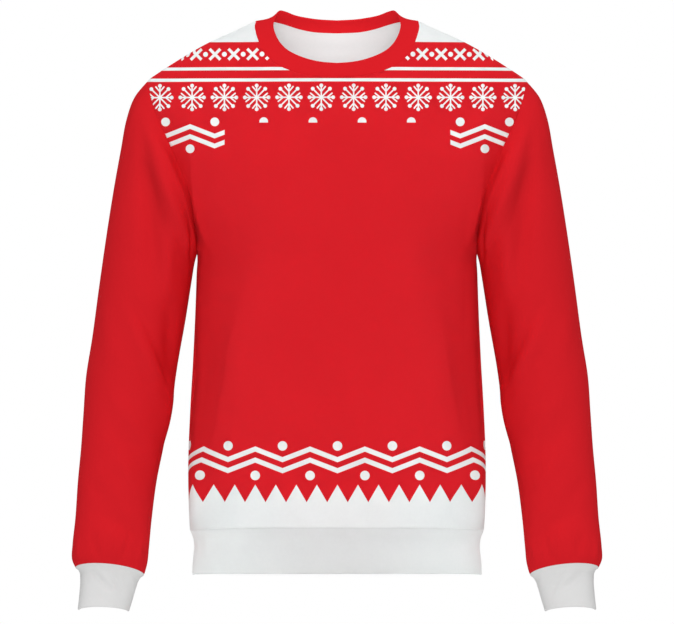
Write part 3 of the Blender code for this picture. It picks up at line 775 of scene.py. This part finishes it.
half_columns = np.concatenate([
    np.linspace(0, NECK_SHARE, NECK_COLUMNS + 1),
    NECK_SHARE + (1 - NECK_SHARE) * spread(SHOULDER_COLUMNS, start=False)[1:],
])
panel_columns = 0.5 + np.concatenate([-half_columns[:0:-1], half_columns]) / 2
panel_rows = np.concatenate([
    SIDE_SHARE * spread(SIDE_ROWS, end=False),
    SIDE_SHARE + (1 - SIDE_SHARE) * spread(ARMHOLE_ROWS, start=False)[1:],
])

front = shell("front_panel", panel_columns, panel_rows,
              lambda u, v: panel_point(u, v, FRONT, FRONT_FOLDS, FRONT_TUCKS), CLOTH,
              (front_print, plain_fleece))
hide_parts("front")
body_pieces.objects.link(front)
lit_alone["front_piece"].objects.link(front)

# The back: a panel of the same fleece that reaches higher at the neck, and is printed all the way
# across. It is sewn on like the front, and hangs hollow at the waist.

BACK_FOLDS = (
    Fold(158, -260, 168, -480, 26, -9.0),
    Fold(0, -340, 0, -540, 46, -6.0),
    Fold(88, -240, 126, -560, 28, 4.0),
    Fold(190, -160, 150, -300, 12, -2.4),
    Fold(170, -250, 96, -330, 11, -2.4),
    Fold(176, -285, 120, -400, 10, 1.8),
    Fold(150, -330, 70, -420, 13, -2.0),
    Fold(120, -120, 60, -220, 26, 1.3),
    Fold(60, -350, 18, -430, 16, 1.6),
    Fold(104, -400, 30, -470, 15, -1.8),
    Fold(120, -450, 60, -520, 14, 1.4),
    Fold(34, -600, 30, -652, 10, -1.4),
    Fold(66, -606, 70, -652, 11, 1.1),
    Fold(92, -596, 99, -655, 9, -1.5),
    Fold(128, -600, 134, -655, 12, 1.3),
    Fold(150, -585, 158, -655, 9, -1.2),
)
BACK_TUCKS = (
    Tuck(196, -150, 190, -285, 9, -2.6),
)

back_print = cloth_material(
    "printed_back", RED_INK, lambda across, height: print_chart(across, height, False))
back = shell("back_panel", panel_columns, panel_rows,
             lambda u, v: panel_point(u, v, BACK, BACK_FOLDS, BACK_TUCKS), CLOTH,
             (back_print, plain_fleece))
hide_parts("back")
lit_in_neck.objects.link(back)
body_pieces.objects.link(back)
lit_alone["back_piece"].objects.link(back)

# The sleeves: one piece each of plain red fleece, set into the armholes, with its seam along the
# underarm. They hang slightly bent, with their drag folds at the head, the elbow and the cuff.

SLEEVE_SQUARE = 2.1  # how square a section is, where an ellipse is 2
ARCH_POWER = 1.3  # a lower one keeps the arch high until close to the two sides
HEAD_FADE, VALLEY_FADE = 0.42, 0.05  # the armhole's form and its valley die out over these shares
# Over this share the sleeve's wall comes into line with the panel's, fully where their directions
# are as alike as RUNS_ON and not at all below TURNED
START_SHARE = 1 / 20
TURNED, RUNS_ON = 0.5, 0.9
ARMHOLE_FADE, CUFF_FADE = 0.03, 0.04  # and the folds at the two ends over these
UNDERARM_DIP, UNDERARM_DIP_WIDTH = 0.9, 1.2
DEGREE_WIDTH, SHARE_LENGTH = 1.0, 610.0  # what a degree around and the whole length measure
SLEEVE_ROWS = 150

# The outer and inner side, half the depth and its middle, and how far the section arches up
Section = namedtuple("Section", "share outer_x outer_z inner_x inner_z half_depth middle_y arch")
SLEEVE = (
    Section(0.00, 239.7, -76.5, 177.0, -294.0, 66, 0, 0),
    Section(0.05, 256.4, -97.0, 177.8, -297.5, 69, 0, 0),
    Section(0.10, 266.2, -124.0, 179.0, -302.0, 70, 0, 0),
    Section(0.16, 273.5, -163.0, 180.4, -308.0, 70, 0, 0),
    Section(0.23, 281.8, -209.0, 182.4, -320.0, 69, 0, 0),
    Section(0.31, 291.5, -270.0, 186.0, -343.0, 67, 0, 0),
    Section(0.39, 301.1, -337.0, 191.8, -380.0, 64, 1, 0),
    Section(0.47, 309.6, -400.0, 199.0, -421.0, 61, 2, 0),
    Section(0.54, 317.4, -449.0, 205.0, -459.0, 58, 2, 0),
    Section(0.61, 320.7, -495.0, 211.7, -499.0, 54, 0, 0),
    Section(0.69, 323.8, -540.0, 219.8, -541.0, 50, -4, 0),
    Section(0.77, 327.8, -583.0, 228.2, -583.0, 46, -9, 0),
    Section(0.85, 330.8, -628.0, 234.2, -630.0, 41, -15, 1),
    Section(0.92, 334.4, -662.0, 237.6, -666.0, 37, -20, 4),
    Section(0.96, 335.2, -679.0, 239.4, -684.0, 34, -22, 7),
    Section(1.00, 330.8, -690.5, 243.6, -699.5, 28, -25, 9),
)

# Here a fold is degrees around from the outer side by way of the front, and the share along.
SLEEVE_FOLDS = (
    Fold(37, 0.035, 116, 0.265, 10, -2.5),
    Fold(61, 0.02, 128, 0.19, 21, 13.0),
    Fold(150, 0.50, 166, 0.68, 16, 5.0),
    Tuck(158, 0.585, 76, 0.39, 12, -3.2),
    Fold(122, 0.35, 160, 0.54, 15, -6.5),
    Fold(58, 0.10, 104, 0.36, 14, -8.0),
    Fold(96, 0.14, 122, 0.38, 13, 4.0),
    Fold(76, 0.40, 146, 0.60, 11, 4.5),
    Fold(64, 0.62, 150, 0.76, 15, -3.5),
    Fold(56, 0.82, 150, 0.91, 14, -3.5),
    Fold(222, 0.12, 258, 0.34, 16, -7.0),
    Fold(208, 0.36, 262, 0.53, 16, -8.0),
    Fold(226, 0.48, 292, 0.64, 15, 6.0),
    Fold(212, 0.66, 288, 0.77, 15, -5.0),
    Fold(40, 0.05, 66, 0.20, 9, -2.0),
    Fold(118, 0.06, 140, 0.22, 8, 2.2),
    Fold(136, 0.05, 160, 0.24, 7, -2.4),
    Fold(70, 0.38, 116, 0.47, 8, -2.2),
    Fold(84, 0.46, 140, 0.53, 7, 2.0),
    Fold(96, 0.52, 160, 0.58, 8, -2.4),
    Fold(30, 0.40, 70, 0.52, 14, 1.6),
    Fold(60, 0.56, 120, 0.66, 10, 1.8),
    Fold(76, 0.70, 132, 0.80, 9, 1.6),
    Fold(40, 0.76, 100, 0.84, 10, -1.6),
    Fold(60, 0.88, 76, 0.99, 7, -1.8),
    Fold(92, 0.86, 100, 0.99, 6, 1.5),
    Fold(118, 0.87, 112, 0.99, 6, -1.8),
    Fold(144, 0.90, 136, 0.99, 6, 1.4),
    Fold(30, 0.90, 36, 0.99, 7, 1.3),
    Fold(215, 0.06, 236, 0.22, 9, -2.2),
    Fold(250, 0.42, 300, 0.50, 10, 2.2),
    Fold(214, 0.54, 262, 0.60, 9, -2.4),
    Fold(236, 0.80, 300, 0.88, 10, 1.8),
    Fold(232, 0.88, 240, 0.99, 7, -1.6),
    Fold(262, 0.87, 258, 0.99, 6, 1.5),
    Fold(292, 0.89, 296, 0.99, 7, -1.4),
    Fold(322, 0.90, 318, 0.99, 7, 1.2),
)


def by_side(in_front, give):
    """What give(side) gives for the front where in_front holds, and for the back elsewhere."""
    chosen = []
    for ahead, behind in zip(give(FRONT), give(BACK)):
        here = in_front[..., None] if np.ndim(ahead) > np.ndim(in_front) else in_front
        chosen.append(np.where(here, ahead, behind))
    return chosen


def armhole_loop(w):
    """The armhole seam of the +X side, from the tip by the front to the underarm and back."""
    def on_side(side):
        flat, height = armhole_edge(side).at(np.abs(1 - 2 * w))
        point, normal = body_point(flat / quarter_girth(height, side), height, side)
        return point, normal, -side * valley(height, side)
    return by_side(w <= 0.5, on_side)


def oval(table, share, w):
    """A point of the tube through the sections of a table."""
    outer_x, outer_z, inner_x, inner_z, half_depth, middle_y, arch = row_at(table, share)
    sine, cosine = np.sin(2 * np.pi * w), np.cos(2 * np.pi * w)
    along = np.sign(cosine) * np.abs(cosine) ** (2 / SLEEVE_SQUARE)
    deep = np.sign(sine) * np.abs(sine) ** (2 / SLEEVE_SQUARE)
    x = (outer_x + inner_x) / 2 + along * (outer_x - inner_x) / 2
    z = (outer_z + inner_z) / 2 + along * (outer_z - inner_z) / 2 + arch * np.abs(deep) ** ARCH_POWER
    return np.stack([x, middle_y - deep * half_depth, z], -1)


def tube_normals(point_at, w, share, step=0.002):
    """Outward normals of the tube, from the lie of the cloth around each point."""
    around = point_at(w + step, share) - point_at(w - step, share)
    along = point_at(w, np.minimum(share + step, 1)) - point_at(w, np.maximum(share - step, 0))
    return unit(np.cross(around, along))


def sleeve_form(w, share):
    """The +X sleeve before its folds. w runs around it, share from the armhole to the cuff."""
    w = np.mod(w, 1.0)
    seam, _, depth = armhole_loop(w)
    own_shape = seam - oval(SLEEVE, np.zeros_like(share), w)
    point = oval(SLEEVE, share, w) + own_shape * (1 - ease(share / HEAD_FADE))[..., None]
    point[..., 1] += depth * (1 - ease(share / VALLEY_FADE))
    return point


def sleeve_point(w, share):
    """The finished sleeve, whose edge is set in along the panels' own direction at the armhole."""
    normal = tube_normals(sleeve_form, w, share)
    inside = ease(share / ARMHOLE_FADE) * ease((1 - share) / CUFF_FADE)
    rise = relief(SLEEVE_FOLDS, w * 360, share, DEGREE_WIDTH, SHARE_LENGTH) * inside
    rise += sewn(share * SHARE_LENGTH) + sewn((1 - share) * SHARE_LENGTH)
    to_underarm = np.abs(w - 0.5) * 360 * DEGREE_WIDTH
    dip = UNDERARM_DIP * np.exp(-((to_underarm / UNDERARM_DIP_WIDTH) ** 2))
    rise -= dip * ease(share / START_SHARE)
    point = sleeve_form(w, share) + normal * rise[..., None]
    _, body_normal, _ = armhole_loop(np.mod(w, 1.0))
    flush = ease((np.sum(normal * body_normal, -1) - TURNED) / (RUNS_ON - TURNED))[..., None]
    start = np.clip(1 - share / START_SHARE, 0, 1)[..., None]
    point = point - body_normal * rounded(share * SHARE_LENGTH, ARMHOLE_ROUND)[..., None]
    cloth = np.stack([w * 360 * DEGREE_WIDTH, -share * SHARE_LENGTH], -1)
    set_in = rounded((1 - share) * SHARE_LENGTH)
    return point, unit(normal + start * flush * (body_normal - normal)), cloth, set_in


def on_right(place):
    """The same on the wearer's right."""
    def mirrored(u, v):
        point, normal, *rest = place(u, v)
        return (point * (-1, 1, 1), normal * (-1, 1, 1), *rest)
    return mirrored


RED_SLEEVE = (0.683, 0.0142, 0.0212, 1)
sleeve_fleece = cloth_material("red_fleece", RED_SLEEVE)
# Its columns start from the panels' rows, so that the two edges meet all along the seam
up_armhole = spread(ARMHOLE_ROWS, start=False)
sleeve_columns = np.concatenate([(1 - up_armhole[::-1]) / 2, (1 + up_armhole[1:]) / 2])
sleeve_rows = spread(SLEEVE_ROWS)
for side_name, place in (("left", sleeve_point), ("right", on_right(sleeve_point))):
    sleeve = shell(f"{side_name}_sleeve", sleeve_columns, sleeve_rows, place, CLOTH,
                   (sleeve_fleece, plain_fleece))
    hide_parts(f"sleeve_{side_name}")

# The neckband: a straight strip of red fleece folded in half along its length, stretched round the
# neck and sewn on by its raw edges, so its free edge is the rounded fold.

BAND = 3.0  # how thick a doubled strip is
NECKBAND_WIDTH, NECKBAND_GIRTH = 21.0, 520.0
NECKBAND_COLUMNS, NECKBAND_ROWS = 208, 22


def band_edges(share, width):
    """How far a doubled band's faces are set in at its sewn edge and at its fold."""
    return np.maximum(rounded(share * width), rounded((1 - share) * width, BAND / 2))


def neckband_point(w, share):
    """w runs around from the middle of the front, share from the seam to the free edge."""
    turned = np.mod(w, 1.0)
    half = np.where(turned <= 0.5, turned, 1 - turned) * 2
    sign = np.where(turned <= 0.5, 1.0, -1.0)
    place = np.where(half <= 0.5, half * 2, 2 - half * 2)

    def on_side(side):
        flat, height = EDGES[side][0].at(place * NECK_SHARE)
        seam, normal = body_point(flat / quarter_girth(height, side), height, side)
        _, _, edge_x, edge_y, edge_z, crown = row_at(neck_table(side), place)
        return seam, normal, np.stack([edge_x, edge_y, edge_z], -1), crown

    seam, seam_normal, edge, crown = by_side(half <= 0.5, on_side)
    seam = seam + SEAM_GAP * unit(edge - seam)
    width = np.linalg.norm(edge - seam, axis=-1)
    rise = crown * np.sin(np.pi * share) + sewn(share * width)
    point = seam + (edge - seam) * share[..., None] + seam_normal * rise[..., None]
    mirror = np.stack([sign, np.ones_like(sign), np.ones_like(sign)], -1)
    cloth = np.stack([w * NECKBAND_GIRTH, share * NECKBAND_WIDTH], -1)
    return point * mirror, seam_normal * mirror, cloth, band_edges(share, width)


RED_BAND = (0.715, 0.0140, 0.0205, 1)
neckband_fleece = cloth_material("red_rib", RED_BAND)
neckband = shell("neck_band", np.linspace(0, 1, NECKBAND_COLUMNS + 1), spread(NECKBAND_ROWS),
                 neckband_point, BAND, (neckband_fleece,))
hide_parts("neckband")
lit_in_neck.objects.link(neckband)

# The hem band: a wide doubled strip of white fleece, a little shorter round than the body, so it
# draws the body in above it.

HEM_BAND_DEPTH, HEM_END_DROP = 58.7, 2.0
HEM_TURN_IN = 3.5  # its free edge is drawn in this much further in the middle
RIM_SHARE = 0.13  # a ring's wall turns from its neighbour's direction to its own over this share
HEM_FOLD_FADE = 6.0
HEM_COLUMNS, HEM_ROWS = 320, 30
# From the seam to the free edge: how far the band is drawn in
BandLevel = namedtuple("BandLevel", "share inset")
HEM_BAND = (
    BandLevel(0.00, 0.0),
    BandLevel(0.12, 3.0),
    BandLevel(0.30, 4.8),
    BandLevel(0.55, 3.6),
    BandLevel(0.80, 2.3),
    BandLevel(1.00, 2.0),
)
# Around the band from the middle of the front, with HALF_HEM at the back's, and down from the seam
HEM_FOLDS = (
    Fold(44, 2, 52, 16, 8, -1.0),
    Fold(30, 0, 26, 14, 7, 0.7),
    Fold(96, 2, 104, 22, 8, -0.9),
    Fold(130, 4, 120, 34, 12, 0.8),
    Fold(168, 0, 176, 26, 9, -1.1),
    Fold(212, 2, 206, 30, 11, 0.9),
    Fold(262, 0, 270, 24, 10, -1.0),
    Fold(318, 2, 312, 30, 12, 0.9),
    Fold(372, 0, 366, 22, 9, -1.0),
    Fold(430, 2, 440, 28, 11, 0.8),
    Fold(488, 0, 482, 20, 9, -1.0),
    Fold(540, 2, 546, 26, 10, 0.7),
)
HALF_HEM = 590.0  # a scale for 480 to 490 mm of cloth, so a step around is about 0.82 mm


def hem_end_height(turn):
    return HEM_SEAM_MIDDLE - HEM_BAND_DEPTH - HEM_END_DROP * turn**4


def hem_band_point(w, share):
    """w runs around from the middle of the front, share from the seam to the free edge."""
    quarter = np.mod(w, 1.0) * 4
    turn = np.select([quarter <= 1, quarter <= 3], [quarter, 2 - quarter], quarter - 4)
    height = hem_seam_height(np.abs(turn))
    in_front = (quarter <= 1) | (quarter >= 3)
    seam, normal = by_side(in_front, lambda side: body_point(turn, height, side))
    (inset,) = row_at(HEM_BAND, share)
    level = unit(normal * np.array([1, 1, 0]))
    down = share * HEM_BAND_DEPTH
    around = np.abs(np.mod(w + 0.5, 1.0) - 0.5) * 2 * HALF_HEM
    rise = relief(HEM_FOLDS, around, down) * ease(down / HEM_FOLD_FADE) + sewn(down) - inset
    rise -= HEM_TURN_IN * share**3 * (1 - turn**4)
    point = seam + level * rise[..., None]
    depth = height - hem_end_height(turn)
    point[..., 2] -= SEAM_GAP + share * (depth - SEAM_GAP)
    near = (1 - ease(share / RIM_SHARE))[..., None]
    cloth = np.stack([w * 2 * HALF_HEM, -down], -1)
    direction = unit(level + near * (normal - level))
    return point, direction, cloth, band_edges(share, HEM_BAND_DEPTH)


WHITE_BAND = (0.76, 0.76, 0.76, 1)
band_fleece = cloth_material("white_rib", WHITE_BAND)
hem = shell("hem_strip", np.linspace(0, 1, HEM_COLUMNS + 1), spread(HEM_ROWS),
            hem_band_point, BAND, (band_fleece,))
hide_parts("hem_band")
body_pieces.objects.link(hem)
lit_alone["hem_piece"].objects.link(hem)

# The cuffs: doubled white strips sewn into rings. Each is narrower than the sleeve's end, which is
# gathered onto it and bulges over it, and they cant with the wrists.

CUFF_COLUMNS, CUFF_ROWS = 140, 64
CUFF_LENGTH, CUFF_GIRTH = 54.0, 200.0
CUFF = (
    SLEEVE[-1]._replace(share=0.00),
    Section(0.14, 325.3, -697.0, 250.8, -707.5, 24.0, -25, 8),
    Section(0.30, 324.4, -706.0, 253.8, -716.0, 22.0, -26, 7),
    Section(0.60, 325.6, -724.0, 257.8, -730.0, 21.5, -27, 6),
    Section(1.00, 327.8, -744.3, 262.9, -746.8, 21.5, -29, 5),
)
ROLL_MIDDLE, ROLL_GROOVE = 1.6, 4.4  # how far from the seam its roll lies, and the groove beyond
ROLL_WIDTH, ROLL_RISE = 1.3, 0.45
# Degrees around and share along, as on the sleeves
CUFF_FOLDS = (
    Fold(42, 0.10, 106, 0.60, 4.2, -1.9),
    Fold(64, 0.08, 116, 0.52, 4.5, 1.2),
    Fold(90, 0.12, 132, 0.64, 4.0, -1.6),
    Fold(122, 0.05, 160, 0.30, 5, 1.0),
    Fold(20, 0.20, 60, 0.78, 9, 0.9),
    Fold(210, 0.06, 262, 0.55, 7, -1.5),
    Fold(240, 0.05, 300, 0.50, 7, 1.1),
    Fold(290, 0.10, 340, 0.60, 8, -1.1),
)


def seam_roll(distance):
    """The seam's raw edges lie inside: they raise a strip of the band, with a groove beyond it."""
    return ROLL_RISE * (np.exp(-(((distance - ROLL_MIDDLE) / ROLL_WIDTH) ** 2))
                        - np.exp(-(((distance - ROLL_GROOVE) / ROLL_WIDTH) ** 2)))


def cuff_form(w, share):
    return oval(CUFF, share, np.mod(w, 1.0))


def cuff_point(w, share):
    """The finished cuff. At the seam it lies a gap below the sleeve's end and faces the same way."""
    first = SEAM_GAP / (CUFF[0].outer_z - CUFF[-1].outer_z)
    place = first + share * (1 - first)
    _, end_normal, *_ = sleeve_point(w, np.ones_like(share))
    near = (1 - ease(place / RIM_SHARE))[..., None]
    normal = tube_normals(cuff_form, w, place)
    normal = unit(normal + near * (end_normal - normal))
    rise = relief(CUFF_FOLDS, w * 360, share, CUFF_GIRTH / 360, CUFF_LENGTH) * ease(share / RIM_SHARE)
    rise += sewn(share * CUFF_LENGTH) + seam_roll(share * CUFF_LENGTH)
    point = cuff_form(w, place) + normal * rise[..., None]
    cloth = np.stack([w * CUFF_GIRTH, -share * CUFF_LENGTH], -1)
    return point, normal, cloth, band_edges(share, CUFF_LENGTH)


for side_name, place in (("left", cuff_point), ("right", on_right(cuff_point))):
    cuff = shell(f"{side_name}_cuff", np.linspace(0, 1, CUFF_COLUMNS + 1), spread(CUFF_ROWS),
                 place, BAND, (band_fleece,))
    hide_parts(f"cuff_{side_name}")
